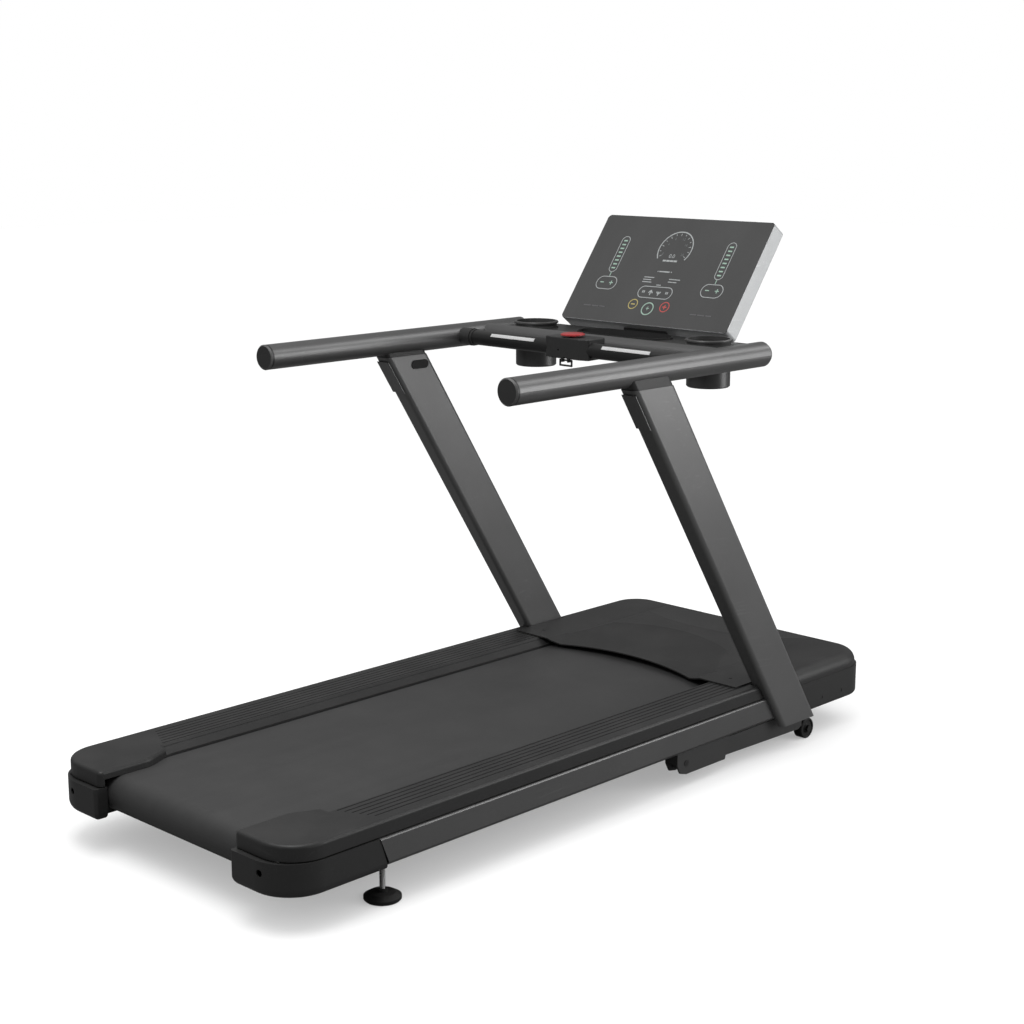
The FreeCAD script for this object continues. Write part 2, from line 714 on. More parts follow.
def drive_motor():
    """Motor can with end bells, ribs and a bore that its shaft turns in."""
    axis = ("motor_y", "motor_z")
    can = rod("motor_can", "x", (motor_start,) + axis, "motor_radius", "motor_length")
    bands = [
        rod("motor_band_%d" % i, "x", (motor_start + " + motor_length * %s" % share,) + axis,
            "motor_radius + 3", "motor_length / 12")
        for i, share in enumerate((0.08, 0.84))
    ]
    bore = rod("motor_bore", "x", (motor_start + " - 1",) + axis,
               "motor_shaft_radius + running_fit", "motor_length * 0.8")
    return cut("drive_motor", fuse("motor_body", [can] + bands), [bore])


node("drive_motor", drive_motor())


def motor_flywheel():
    """Flywheel and motor shaft, one turning piece."""
    axis = ("motor_y", "motor_z")
    wheel = rod("flywheel_disc", "x", ("motor_x",) + axis, "flywheel_radius", "flywheel_width")
    shaft_start = "pulley_x - pulley_width / 2 - 2"
    shaft = rod("flywheel_shaft", "x", (shaft_start,) + axis, "motor_shaft_radius",
                "%s - (%s) + motor_length * 0.7" % (motor_start, shaft_start))
    vents = []
    for i in range(6):
        angle = 60 * i
        reach = "(flywheel_radius * 0.62)"
        vents.append(rod("flywheel_vent_%d" % i, "x",
                         ("motor_x - 1", "motor_y + %s * cos(%d)" % (reach, angle),
                          "motor_z + %s * sin(%d)" % (reach, angle)),
                         "flywheel_radius / 7", "flywheel_width + 2"))
    return cut("motor_flywheel", fuse("flywheel_steel", [wheel, shaft]), vents)


node("motor_flywheel", motor_flywheel())


def motor_bracket():
    """Saddle that holds the motor to the motor bay's floor."""
    low_x = motor_start + " + motor_length * 0.3"
    block = box("bracket_block", (low_x, "motor_y - 40", "cross_bottom - 4"),
                (low_x + " + 70", "motor_y + 40", "motor_z"))
    seat = rod("bracket_seat", "x", (low_x + " - 1", "motor_y", "motor_z"), "motor_radius", "72")
    return cut("motor_bracket", block, [seat])


node("motor_bracket", motor_bracket())


def motor_controller():
    """Finned electronics case beside the motor."""
    low = ("70", "motor_y - 60", "cross_bottom - 4")
    high = ("250", "motor_y + 70", "cross_bottom + 26")
    fins = [
        box("controller_fin_%d" % i, ("80 + %d" % (20 * i), "motor_y - 60", "cross_bottom + 26"),
            ("86 + %d" % (20 * i), "motor_y + 70", "cross_bottom + 46"))
        for i in range(9)
    ]
    return fuse("motor_controller", [box("controller_case", low, high)] + fins)


node("motor_controller", motor_controller())

# ---------------------------------------------------------------------------
# Covers
# ---------------------------------------------------------------------------
def rounded_outline(points, z):
    """A closed wire at one height through (x, y, corner radius) points."""
    count = len(points)
    edges = []
    ends = []
    for i, (x, y, radius) in enumerate(points):
        here = Vector(x, y, z)
        before = Vector(points[i - 1][0], points[i - 1][1], z)
        after = Vector(points[(i + 1) % count][0], points[(i + 1) % count][1], z)
        back = (before - here).normalize()
        ahead = (after - here).normalize()
        half = math.acos(max(-1, min(1, back.dot(ahead)))) / 2
        if radius <= 0 or half > math.pi / 2 - 1e-3:
            ends.append((here, here, None))
            continue
        trim = radius / math.tan(half)
        middle = (back + ahead).normalize()
        nearest = radius / math.sin(half) - radius
        ends.append((here + back * trim, here + ahead * trim, here + middle * nearest))
    for i, (first, last, middle) in enumerate(ends):
        if middle is not None:
            edges.append(Part.Arc(first, middle, last).toShape())
        following = ends[(i + 1) % count][0]
        if (following - last).Length > 1e-6:
            edges.append(Part.LineSegment(last, following).toShape())
    return Part.Wire(edges)


def slab(points, bottom, top):
    """A flat-ended solid from a rounded outline."""
    return Part.Face(rounded_outline(points, bottom)).extrude(Vector(0, 0, top - bottom))


def prism_along_y(corners, start, end):
    """A solid from (x, z) corners, from one y to another."""
    points = [Vector(x, start, z) for x, z in corners]
    face = Part.Face(Part.makePolygon(points + points[:1]))
    return face.extrude(Vector(0, end - start, 0))


def prism_along_x(corners, start, end):
    """A solid from (y, z) corners, from one x to another."""
    points = [Vector(start, y, z) for y, z in corners]
    face = Part.Face(Part.makePolygon(points + points[:1]))
    return face.extrude(Vector(end - start, 0, 0))


def cover_plan(inset):
    """Plan of a foot rail cover, stepped inward behind the belt's edge."""
    outer = value("cover_outer") - inset
    inner = value("cover_inner") + inset
    tail = value("cover_rear_inner") + inset
    rear = value("rear_end") + inset
    front = value("cover_front") - inset
    step = value("rear_end + cover_step_y")
    corner = max(value("cover_corner") - inset, 5)
    return [
        (outer, front, 2), (outer, rear, corner), (tail, rear, 12),
        (tail, step - 70, 60), (inner, step, 60), (inner, front, 2),
    ]


def upright_room():
    """Space that the covers leave round the right upright where it passes through them."""
    gap = 1.5
    level_gap = gap * math.hypot(1, value("upright_lean"))

    def edges(z):
        rear = value("upright_foot_y") - (z - value("upright_foot_z")) * value("upright_lean")
        return rear - level_gap, rear + value("upright_depth") + level_gap

    low = value("upright_foot_z - 20")
    high = value("cover_top + 40")
    corners = [(edges(low)[0], low), (edges(low)[1], low), (edges(high)[1], high), (edges(high)[0], high)]
    return prism_along_x(corners, value("upright_inner") - gap, value("upright_outer") + gap)


def mirrored(shape):
    return shape.mirror(Vector(0, 0, 0), Vector(1, 0, 0))


def foot_rail():
    """Plastic foot rail: flat grooved top, sloped inner edge, skirt down to the seam."""
    top = value("cover_top")
    seam = value("rail_top + foot_rail_gap")
    wall = value("cover_wall")
    front = value("cover_front")
    rear = value("rear_end")
    outer = value("cover_outer")
    step = value("cover_step")
    inner = value("cover_inner")
    lip = value("belt_top + fit_gap") + 1.5
    body = slab(cover_plan(0), seam, top)
    outer_edges = [
        edge for edge in body.Edges
        if abs(edge.BoundBox.ZMin - top) < 1e-6 and abs(edge.BoundBox.ZMax - top) < 1e-6
        and (edge.BoundBox.XMax > outer - 1 or edge.BoundBox.YMin < rear + 1)
        and edge.BoundBox.YMin < front - 1
    ]
    body = body.makeFillet(8, outer_edges)
    slope = prism_along_y([(inner - 60, lip + 2), (inner, lip + 2), (step, top), (step, top + 9),
                           (inner - 60, top + 9)], rear + value("cover_step_y") - 10, front + 1)
    body = body.cut(slope)
    hollow = slab(cover_plan(wall), seam - 1, top - wall - 1)
    slope_inside = prism_along_y([(inner - 60, seam - 2), (step + 2, seam - 2), (step + 2, top - wall),
                                  (inner - 60, lip - 2)],
                                 rear + value("cover_step_y") - 30, front + 1)
    hollow = hollow.cut(slope_inside)
    body = body.cut(hollow)
    deck_rear = value("rear_roller_y + deck_margin") - 2
    deck_clear = Part.makeBox(value("deck_half") + 1.5, front + 5 - deck_rear,
                              value("belt_inner_top + fit_gap") - seam + 2, Vector(0, deck_rear, seam - 2))
    belt_clear = Part.makeBox(value("belt_half") + 4, front - rear,
                              value("belt_top") + 1 - seam + 2, Vector(0, rear + 14, seam - 2))
    body = body.cut([deck_clear, belt_clear, upright_room()])
    depth = value("groove_depth")
    count = 6
    spread = outer - 30 - (step + 6)
    for i in range(count):
        x = step + 6 + spread * i / (count - 1)
        start = rear + value("cover_step_y") + 8 + 7 * i
        groove = Part.makeBox(3, front - start - 40, depth + 1, Vector(x - 1.5, start, top - depth))
        body = body.cut(groove)
    return shape_feature("foot_rail", body)


def rear_cap():
    """Lower end cap under the foot rail, rounded underneath, with the tension bolt's hole."""
    top = value("rail_top")
    bottom = value("cap_bottom")
    wall = value("cover_wall")
    rear = value("cap_rear")
    outer = value("cover_outer + 3")
    tail = value("cover_rear_inner")
    corner = value("cover_corner + cap_proud")
    side = value("belt_half + 9")
    back = value("rear_roller_y - roller_radius - belt_thick - 4")

    def plan(inset, shelf=0):
        far = inset + shelf
        return [
            (outer - far, value("rail_rear + rail_slant"), 0),
            (outer - far, rear + far, corner - far),
            (tail + inset, rear + far, 8),
            (tail + inset, back - inset, 0),
            (side + inset, back - inset, 0),
            (side + inset, value("rail_rear + rail_slant"), 0),
        ]

    body = slab(plan(0), bottom, top)
    low_edges = [
        edge for edge in body.Edges
        if abs(edge.BoundBox.ZMax - bottom) < 1e-6
        and (edge.BoundBox.XMax > outer - 1 or edge.BoundBox.YMin < rear + 1)
        and edge.BoundBox.YMin < value("rail_rear + rail_slant") - 1
    ]
    body = body.makeFillet(20, low_edges)
    floor = bottom + wall + 9
    shelf = value("cap_proud")
    body = body.cut([slab(plan(wall), floor, top - wall), slab(plan(wall, shelf), floor, top + 1)])
    gap = value("seam_gap")
    slant = prism_along_x([(value("rail_rear") - gap, top + 1),
                           (value("rail_rear + rail_slant") - gap, value("rail_bottom") - 14),
                           (value("rail_rear + rail_slant") + 60, value("rail_bottom") - 14),
                           (value("rail_rear + rail_slant") + 60, top + 1)],
                          0, outer + 10)
    body = body.cut(slant)
    open_side = Part.makeBox(wall + 1.5, 400, 100,
                             Vector(side - 1, value("rear_roller_y - shaft_radius - 4"), floor))
    body = body.cut(open_side)
    hole = Part.makeCylinder(7.5, 30, Vector(value("shaft_half - 18"), rear - 5, value("roller_axis_z")),
                             Vector(0, 1, 0))
    return shape_feature("rear_cap", body.cut(hole))


sides("foot_rail", foot_rail())
sides("rear_cap", rear_cap())


SCREW_ROOM = "screw_radius + 0.2"
HOOD_SCREWS = [(side + "hood_screw_x", "hood_rear + 50") for side in ("-", "")]
SIDE_SCREWS = [("lower_rear + %d" % ahead, "lower_bottom + 26") for ahead in (112, 198)]


def hood_slope(inset):
    """Outline, in y and z, of all that lies under the hood's slope, crown and front fall."""
    edge = value("hood_edge") - inset
    crown = value("hood_crown") - inset
    seam = value("hood_seam") - (1 if inset else 0)
    rear = value("hood_rear") - (1 if inset else 0)
    front = value("front_end - hood_set_back") - inset
    return [(rear, seam), (front - 60, seam), (front - 34, edge), (front - 230, crown),
            (value("hood_rear + hood_rise"), crown), (rear, value("hood_dip") - inset)]


def hood_top(inset):
    """The raised middle of the hood: a shallow arch between two sloping shoulders."""
    crease = value("hood_crease")
    shelf = value("hood_shelf")
    slope = hood_slope(inset)
    rear, seam = slope[0]
    front = slope[1][0] + 60

    def at(x, z):
        return Vector(x, rear, z)

    edge = value("hood_edge") - inset
    shoulder = value("hood_shoulder") - inset
    corners = [at(shelf, shoulder), at(crease, edge), at(crease, seam), at(-crease, seam),
               at(-crease, edge), at(-shelf, shoulder)]
    arch = Part.Arc(at(-shelf, shoulder), at(0, value("hood_crown") - inset), at(shelf, shoulder)).toShape()
    sides = [Part.LineSegment(a, b).toShape() for a, b in zip(corners, corners[1:])]
    form = Part.Face(Part.Wire(sides + [arch])).extrude(Vector(0, front - rear, 0))
    return form.common(prism_along_x(slope, -crease, crease))


def hood_valley(inset):
    """Space over the belt where the hood's flat sides stop and its top dips to the rear."""
    edge = value("hood_edge") - inset
    dip = value("hood_dip") - inset
    rear = value("hood_rear") - 1
    meet = rear + value("hood_rise") * (edge - dip) / (value("hood_crown") - inset - dip)
    wide = value("hood_crease + 12") + inset
    narrow = value("hood_crease - 35")
    trough = prism_along_y([(-narrow, dip), (narrow, dip), (wide, edge + 0.1), (-wide, edge + 0.1)],
                           rear, meet)
    return trough.common(prism_along_x([(rear, dip), (meet, edge), (meet, edge + 1), (rear, edge + 1)],
                                       -wide, wide))


def hood_solid(inset):
    """The hood's outer form, or its inner form when inset by the wall."""
    outer = value("cover_outer") - inset
    waist = value("hood_waist") - inset
    edge = value("hood_edge") - inset
    rear, seam = hood_slope(inset)[0]
    front = value("front_end - hood_set_back") - inset
    corner = value("hood_corner") - inset
    splay = value("upright_foot_y + upright_depth - (hood_edge - upright_foot_z) * upright_lean + 2") + inset
    base = slab([(-waist, rear, 0), (waist, rear, 0), (waist, splay, 0), (outer, splay, 0),
                 (outer, front, corner), (-outer, front, corner), (-outer, splay, 0),
                 (-waist, splay, 0)], seam, edge)
    rim = [item for item in base.Edges
           if item.BoundBox.ZMin > edge - 1e-3 and item.BoundBox.YMax > splay + 1
           and (item.BoundBox.XMax > outer - 1e-3 or item.BoundBox.XMin < 1e-3 - outer
                or item.BoundBox.YMin > front - 1e-3)]
    base = base.makeFillet(value("hood_round") - inset, rim)
    return base.cut(hood_valley(inset)).fuse(hood_top(inset)).removeSplitter()


def hood():
    """Motor hood: a raised centre between flat sides, waisted where the uprights pass."""
    body = hood_solid(0).cut(hood_solid(value("cover_wall")))
    rear = value("hood_rear")
    seam = value("hood_seam")
    crease = value("hood_crease")
    covers_start = value("hood_crease + 14")
    covers_width = value("cover_outer") - covers_start
    covers_length = value("cover_front + 2") - rear + 1
    over_cover = Part.makeBox(covers_width, covers_length, value("cover_top") + 0.4 - seam + 1,
                              Vector(covers_start, rear - 1, seam - 1))
    bow = Part.Arc(Vector(-crease, rear, seam), Vector(0, rear + value("hood_bow"), seam),
                   Vector(crease, rear, seam)).toShape()
    chord = Part.LineSegment(Vector(crease, rear, seam), Vector(-crease, rear, seam)).toShape()
    bite = Part.Face(Part.Wire([bow, chord])).extrude(Vector(0, 0, value("hood_crown") - seam))
    room = upright_room()
    body = body.cut([over_cover, mirrored(over_cover), bite, room, mirrored(room)])
    for x, y in HOOD_SCREWS:
        place_of_screw = Vector(value(x), value(y), value("hood_edge") - 10)
        body = body.cut(Part.makeCylinder(value(SCREW_ROOM), 20, place_of_screw))
    return shape_feature("hood", body)


node("hood", hood())


INLET_LOW = ("-306", "front_end - 4", "lower_bottom + 21")
INLET_HIGH = ("-244", "front_end - 1", "lower_bottom + 64")


def front_lower_cover():
    """Tray-shaped lower front cover, open at the rear where the frame enters."""
    wall = value("cover_wall")
    gap = value("seam_gap")
    top = value("hood_seam") - gap
    bottom = value("lower_bottom")

    def form(inset, low, high, ledge=0):
        outer = value("cover_outer") - inset
        front = value("front_end") - inset - ledge
        rear = value("lower_rear") - (1 if inset else 0)
        corner = value("hood_corner") - inset
        return slab([(-outer, rear, 0), (outer, rear, 0), (outer, front, corner),
                     (-outer, front, corner)], low, high)

    body = form(0, bottom, top)
    rim = [edge for edge in body.Edges
           if abs(edge.BoundBox.ZMax - bottom) < 1e-6
           and edge.BoundBox.YMax > value("lower_rear") + 1]
    body = body.makeFillet(10, rim)
    floor = bottom + wall + 1
    body = body.cut([form(wall, floor, top - wall), form(wall, floor, top + 1, value("hood_set_back"))])
    for y, z in SIDE_SCREWS:
        start = Vector(-value("cover_outer") - 5, value(y), value(z))
        body = body.cut(Part.makeCylinder(value(SCREW_ROOM), value("cover_outer * 2 + 10"), start,
                                          Vector(1, 0, 0)))
    seam = gap / 2
    low, high = [[value(text) for text in corner] for corner in (INLET_LOW, INLET_HIGH)]
    opening = Part.makeBox(high[0] - low[0] + gap, 40, high[2] - low[2] + gap,
                           Vector(low[0] - seam, high[1] - 20, low[2] - seam))
    room = upright_room()
    return shape_feature("front_lower_cover", body.cut([opening, room, mirrored(room)]))


node("front_lower_cover", front_lower_cover())


def cover_screws():
    """Small screws sunk just below the surface of the hood and the lower front cover."""
    screws = []
    for i, (x, y) in enumerate(HOOD_SCREWS):
        screws.append(rod("hood_screw_%d" % i, "z", (x, y, "hood_edge - 2.6"), "screw_radius", "1.8"))
    for i, (y, z) in enumerate(SIDE_SCREWS):
        for side, start in (("left", "-cover_outer + 0.8"), ("right", "cover_outer - 2.6")):
            screws.append(rod("side_screw_%d_%s" % (i, side), "x", (start, y, z), "screw_radius", "1.8"))
    return group("cover_screws", screws)


node("cover_screws", cover_screws())


def power_inlet():
    """Mains inlet on the front of the lower cover."""
    back = ("-300", "front_end - 22", "lower_bottom + 25")
    body = box("inlet_body", back, ("-250", "front_end - 1", "lower_bottom + 60"))
    flange = box("inlet_flange", INLET_LOW, INLET_HIGH)
    socket = box("inlet_socket", ("-292", "front_end - 17", "lower_bottom + 31"),
                 ("-258", "front_end", "lower_bottom + 54"))
    return cut("power_inlet", fuse("inlet_shell", [body, flange]), [socket])


node("power_inlet", power_inlet())

# ---------------------------------------------------------------------------
# Uprights
# ---------------------------------------------------------------------------
LEAN = ("-upright_lean / sqrt(1 + upright_lean ^ 2)", "1 / sqrt(1 + upright_lean ^ 2)")


def leaning_tube(label, inset, rounding):
    """A solid with the upright's lean, inset from its faces, with rounded long edges."""
    near = "upright_inner + %s" % inset
    far = "upright_outer - %s" % inset
    rear = "upright_foot_y + %s * 1.19" % inset
    front = "upright_foot_y + upright_depth - %s * 1.19" % inset
    height = "upright_top - upright_foot_z"
    body = new_body(label)
    section = outline(body, "Section", "XY_Plane",
                      [(near, rear), (far, rear), (far, front), (near, front)], "upright_foot_z")
    pad(body, section, height, LEAN)
    soften(body, rounding, lambda e: e.Length > value(height))
    return body


def upright():
    """Leaning tube with level ends, notched to bolt on the outside of the side rail."""
    outer = leaning_tube("upright_outer", "0", "upright_round")
    inner = leaning_tube("upright_inner", "upright_wall", "upright_round - upright_wall")
    notch = box("upright_notch", ("upright_inner - 5", "upright_foot_y - 200", "upright_foot_z - 1"),
                ("rail_outer", "upright_foot_y + upright_depth + 50", "rail_top + 0.2"))
    return cut("upright", outer, [inner, notch])


sides("upright", upright())


def upright_bolt(index, y, z):
    """Bolt from inside the frame, through the side rail, into the upright's outer wall."""
    shank = rod("upright_bolt_shank_%d" % index, "x", ("rail_inner - 1", y, z), "bolt_radius",
                "upright_outer - upright_wall - rail_inner + 1")
    head = doc.addObject("Part::Prism", scratch_name("upright_bolt_head_%d" % index))
    head.Polygon = 6
    bind(head, Circumradius="bolt_radius * 1.9", Height="5.3")
    place(head, "rail_inner - 5.3", y, z, turn=AXES["x"])
    return fuse("upright_bolt_%d" % index, [shank, head])


right_bolts = [upright_bolt(i, y, z) for i, (y, z) in enumerate(UPRIGHT_BOLTS)]
left_bolts = [mirror("upright_bolt_left_%d" % i, bolt) for i, bolt in enumerate(right_bolts)]
node("upright_bolts", group("upright_bolts", right_bolts + left_bolts))


def ring_between(name, grow, low, high):
    """A rounded-oblong slice that follows the upright's lean."""
    body = new_body(name)
    base = "(%s)" % low
    shift = "(%s - upright_foot_z) * upright_lean" % base
    corners = [
        ("upright_inner - %s" % grow, "upright_foot_y - %s - %s" % (shift, grow)),
        ("upright_outer + %s" % grow, "upright_foot_y - %s - %s" % (shift, grow)),
        ("upright_outer + %s" % grow, "upright_foot_y + upright_depth - %s + %s" % (shift, grow)),
        ("upright_inner - %s" % grow, "upright_foot_y + upright_depth - %s + %s" % (shift, grow)),
    ]
    pad(body, outline(body, "Plan", "XY_Plane", corners, base), "(%s) - (%s)" % (high, low), LEAN)
    soften(body, "upright_round - 1", along_lean)
    return body


def along_lean(edge):
    """Whether an edge follows the upright's lean."""
    lean = value("upright_lean")
    points = edge.Vertexes
    rise = points[-1].Z - points[0].Z
    return abs(rise) > 1 and abs(points[-1].Y - points[0].Y + lean * rise) < 0.01 and edge.Length < 110


handrail_line = ("handrail_x", "head_y - handrail_back", "handrail_z")


def upright_collar():
    """Plastic collar saddled under the handrail."""
    block = ring_between("upright_collar", "-1.5", "upright_top", "handrail_z - 12")
    seat = rod("collar_seat", "y", handrail_line, "handrail_radius",
               "handrail_back + handrail_ahead")
    return cut("upright_collar_cut", block, [seat])


pair("upright_collars", upright_collar())


def upright_end_plate():
    """Stepped cover plate on the rear narrow face, just below the collar."""
    low = "(upright_top - 94)"
    shift = "(%s - upright_foot_z) * upright_lean" % low
    rear = "upright_foot_y - %s" % shift
    body = new_body("upright_end_plate")
    corners = [
        ("upright_inner + 4", rear + " - 4"), ("upright_outer - 4", rear + " - 4"),
        ("upright_outer - 4", rear), ("upright_inner + 4", rear),
    ]
    pad(body, outline(body, "Plan", "XY_Plane", corners, low), "82", LEAN)
    soften(body, "1.2", along_lean)
    return body


pair("upright_end_plates", upright_end_plate())


def cable_grommet():
    """Oval rubber grommet on the upright's inner face near the top."""
    radius = 11
    reach = 17
    stand = "(upright_inner - 2.5)"
    z = "(upright_top - 24)"
    y = "(upright_foot_y + upright_depth * 0.67 - (%s - upright_foot_z) * upright_lean)" % z
    ends = [
        rod("grommet_%s" % name, "x", (stand, "%s + %d" % (y, shift), z), str(radius), "2.5")
        for name, shift in (("rear", -reach), ("front", reach))
    ]
    middle = box("grommet_middle", (stand, "%s - %d" % (y, reach), "%s - %d" % (z, radius)),
                 ("upright_inner", "%s + %d" % (y, reach), "%s + %d" % (z, radius)))
    return fuse("cable_grommet", ends + [middle])


pair("cable_grommets", cable_grommet())

# ---------------------------------------------------------------------------
# Handrails and cross pieces
# ---------------------------------------------------------------------------
def handrail():
    """Round steel tube with both ends open for the caps."""
    length = "handrail_back + handrail_ahead - 12"
    tube = rod("handrail_tube", "y",
               ("handrail_x", "head_y - handrail_back + handrail_cap", "handrail_z"),
               "handrail_radius", length + " - handrail_cap")
    bore = rod("handrail_bore", "y",
               ("handrail_x", "head_y - handrail_back + handrail_cap - 1", "handrail_z"),
               "handrail_radius - rail_wall", length + " - handrail_cap + 2")
    return cut("handrail", tube, [bore])


sides("handrail", handrail())


def rear_cap_of_handrail():
    """Flat end cap with a bevelled rim and a plug inside the tube."""
    profile = [
        ("0", "0"), ("handrail_radius - 3", "0"), ("handrail_radius", "3"),
        ("handrail_radius", "handrail_cap"), ("handrail_radius - rail_wall", "handrail_cap"),
        ("handrail_radius - rail_wall", "handrail_cap + 14"), ("0", "handrail_cap + 14"),
    ]
    body = turned("handrail_rear_cap", profile)
    return place(body, *handrail_line, turn=AXES["y"])


def front_cap_of_handrail():
    """Domed end cap with a plug inside the tube."""
    profile = [
        ("0", "0"), ("handrail_radius * 0.55", "1"), ("handrail_radius * 0.86", "4.5"),
        ("handrail_radius", "12"), ("handrail_radius - rail_wall", "12"),
        ("handrail_radius - rail_wall", "26"), ("0", "26"),
    ]
    body = turned("handrail_front_cap", profile)
    return place(body, "handrail_x", "head_y + handrail_ahead", "handrail_z",
                 turn=(Vector(1, 0, 0), 90))


pair("handrail_rear_caps", rear_cap_of_handrail())
pair("handrail_front_caps", front_cap_of_handrail())


def between_handrails(label, y, radius, bore):
    """A cross tube whose ends are coped to sit on both handrails."""
    tube = rod(label + "_tube", "x", ("-handrail_x", y, "handrail_z"), radius, "handrail_x * 2")
    hollow = rod(label + "_hollow", "x", ("-handrail_x - 1", y, "handrail_z"), bore,
                 "handrail_x * 2 + 2")
    rails = [
        rod("%s_cope_%s" % (label, side), "y", (x, "head_y - handrail_back", "handrail_z"),
            "handrail_radius", "handrail_back + handrail_ahead")
        for side, x in (("left", "-handrail_x"), ("right", "handrail_x"))
    ]
    return cut(label, tube, [hollow] + rails)


node("cross_tube", between_handrails("cross_tube", "cross_tube_y", "cross_tube_radius",
                                     "cross_tube_radius - rail_wall"))
node("grip_bar", between_handrails("grip_bar", "grip_y", "grip_radius", "grip_radius - rail_wall"))


def grip_collar():
    """Moulded collar where the grip bar meets a handrail."""
    start = ("span - collar_length + 4", "grip_y", "handrail_z")
    sleeve = rod("grip_collar_sleeve", "x", start, "grip_radius + 3.5", "collar_length")
    ring = rod("grip_collar_ring", "x", ("span - collar_length - 4", "grip_y", "handrail_z"),
               "grip_radius + 2", "5")
    bore = rod("grip_collar_bore", "x", ("span - collar_length - 10", "grip_y", "handrail_z"),
               "grip_radius", "collar_length + 30")
    throat = rod("grip_collar_throat", "x", ("span - collar_length - 4", "grip_y", "handrail_z"),
                 "grip_radius + 1", "12")
    rail = rod("grip_collar_cope", "y", handrail_line, "handrail_radius",
               "handrail_back + handrail_ahead")
    return cut("grip_collar", fuse("grip_collar_form", [sleeve, ring, throat]), [bore, rail])


pair("grip_collars", grip_collar())


def pulse_plate():
    """Curved steel contact on the upper rear of the grip bar."""
    outer = rod("pulse_plate_outer", "x", ("plate_start", "grip_y", "handrail_z"),
                "grip_radius + 1", "plate_length")
    inner = rod("pulse_plate_inner", "x", ("plate_start - 1", "grip_y", "handrail_z"),
                "grip_radius", "plate_length + 2")
    wedge = shape_feature("pulse_plate_wedge", prism_along_x(
        [(0, 0), (-40, 18.7), (-40, 51.2)], 0, value("plate_length + 4")))
    place(wedge, "plate_start - 2", "grip_y", "handrail_z")
    shell = cut("pulse_plate_shell", outer, [inner])
    return common("pulse_plate", [shell, wedge])


pair("pulse_plates", pulse_plate())


def centre_housing():
    """Switch housing round the middle of the grip bar."""
    body = new_body("centre_housing")
    rear, front = "grip_y - 25", "grip_y + 50"
    plan = [
        ("-housing_half", rear + " + 8"), ("-housing_half * 0.62", rear), ("housing_half * 0.62", rear),
        ("housing_half", rear + " + 8"), ("housing_half * 0.92", front), ("-housing_half * 0.92", front),
    ]
    sketch = outline(body, "Plan", "XY_Plane", plan, "handrail_z - grip_radius - 5")
    pad(body, sketch, "grip_radius * 2 + 14")
    soften(body, "6", lambda e: abs(e.BoundBox.ZLength) > 30)
    soften(body, "3", lambda e: e.BoundBox.ZLength < 0.01)
    tunnel = rod("housing_tunnel", "x", ("-housing_half - 5", "grip_y", "handrail_z"),
                 "grip_radius", "housing_half * 2 + 10")
    well = rod("housing_well", "z", ("0", "stop_y", "handrail_z + grip_radius + 0.5"),
               "stop_stem + fit_gap", "20")
    jack = rod("housing_jack", "y", ("-22", rear + " - 1", "handrail_z - 3"), "2.5", "9")
    slot = box("housing_slot", ("-6", rear + " - 1", "handrail_z - grip_radius - 6"),
               ("6", rear + " + 8", "handrail_z - grip_radius - 1"))
    lugs = [
        box("housing_lug_%d" % i, (x, rear, "loop_z - 4.8"), (x + " + 4", "loop_y + 4", "loop_z + 4"))
        for i, x in enumerate(("-12", "8"))
    ]
    eye = rod("housing_eye", "x", ("-13", "loop_y", "loop_z"), "loop_wire + 0.1", "26")
    return cut("centre_housing_cut", fuse("housing_form", [body] + lugs), [tunnel, well, jack, slot, eye])


node("centre_housing", centre_housing())


def stop_button():
    """Mushroom button: wide red head on a stem that slides in the housing."""
    base = "(handrail_z + grip_radius + 9)"
    stem = "stop_stem"
    profile = [
        ("0", "-8 + stop_travel"), (stem, "-8 + stop_travel"), (stem, "stop_travel + 0.5"),
        ("stop_radius", "stop_travel + 0.5"), ("stop_radius", "stop_travel + 3"),
        ("stop_radius * 0.85", "stop_travel + 5.2"), ("stop_radius * 0.45", "stop_travel + 6.3"),
        ("0", "stop_travel + 6.6"),
    ]
    body = turned("stop_button", profile)
    return place(body, "0", "stop_y", base)


node("stop_button", stop_button())


def clip_loop():
    """Wire loop that hangs from the housing for the safety clip."""
    radius = value("loop_wire")
    half = 19
    drop = 13
    path = [Vector(-half, 0, -drop), Vector(-half, 0, 0), Vector(half, 0, 0), Vector(half, 0, -drop)]
    pieces = []
    for a, b in zip(path, path[1:] + path[:1]):
        pieces.append(Part.makeCylinder(radius, (b - a).Length, a, b - a))
        pieces.append(Part.makeSphere(radius, a))
    loop_shape = pieces[0].fuse(pieces[1:]).removeSplitter()
    feature = shape_feature("clip_loop", loop_shape)
    return place(feature, "0", "loop_y", "loop_z")


node("clip_loop", clip_loop())

# ---------------------------------------------------------------------------
# Tray and cup holders
# ---------------------------------------------------------------------------
BOAT = [(-148, 92), (-128, 44), (-64, 22), (64, 22), (128, 44), (148, 92), (96, 132), (-96, 132)]


def boat(grow, low, high):
    """The book rest's boat-shaped outline, as a slab above the tray's rear edge."""
    rear = value("tray_rear")
    points = []
    for x, y in BOAT:
        away = Vector(x, y - 80, 0).normalize() * grow
        points.append((x + away.x, rear + y + away.y, 22))
    return slab(points, low, high)


